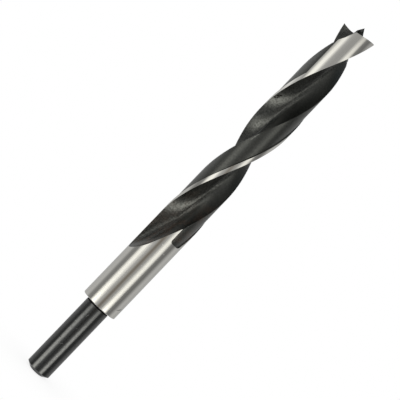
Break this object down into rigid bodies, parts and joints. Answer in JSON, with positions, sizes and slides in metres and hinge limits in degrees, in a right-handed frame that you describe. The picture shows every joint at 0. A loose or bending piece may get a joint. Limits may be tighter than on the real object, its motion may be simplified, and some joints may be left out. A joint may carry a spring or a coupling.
{
  "type": "wood drill bit",
  "caption": "Brad-point twist drill bit for wood, with two helical flutes, cutting spurs, a centre point and a reduced round shank.",
  "frame": {"origin": "centre of the flat end of the shank, where the bit stands", "axes": "+Z along the bit's axis towards the centre point; -Y is the side that the picture shows"},
  "size_m": [0.015, 0.015, 0.1757],
  "materials": {
    "tool_steel": "black oxide in the flutes and on the shank, ground bright on the full-diameter surfaces"
  },
  "bodies": {
    "root": {"drill_bit": "tool_steel"}
  },
  "joints": []
}
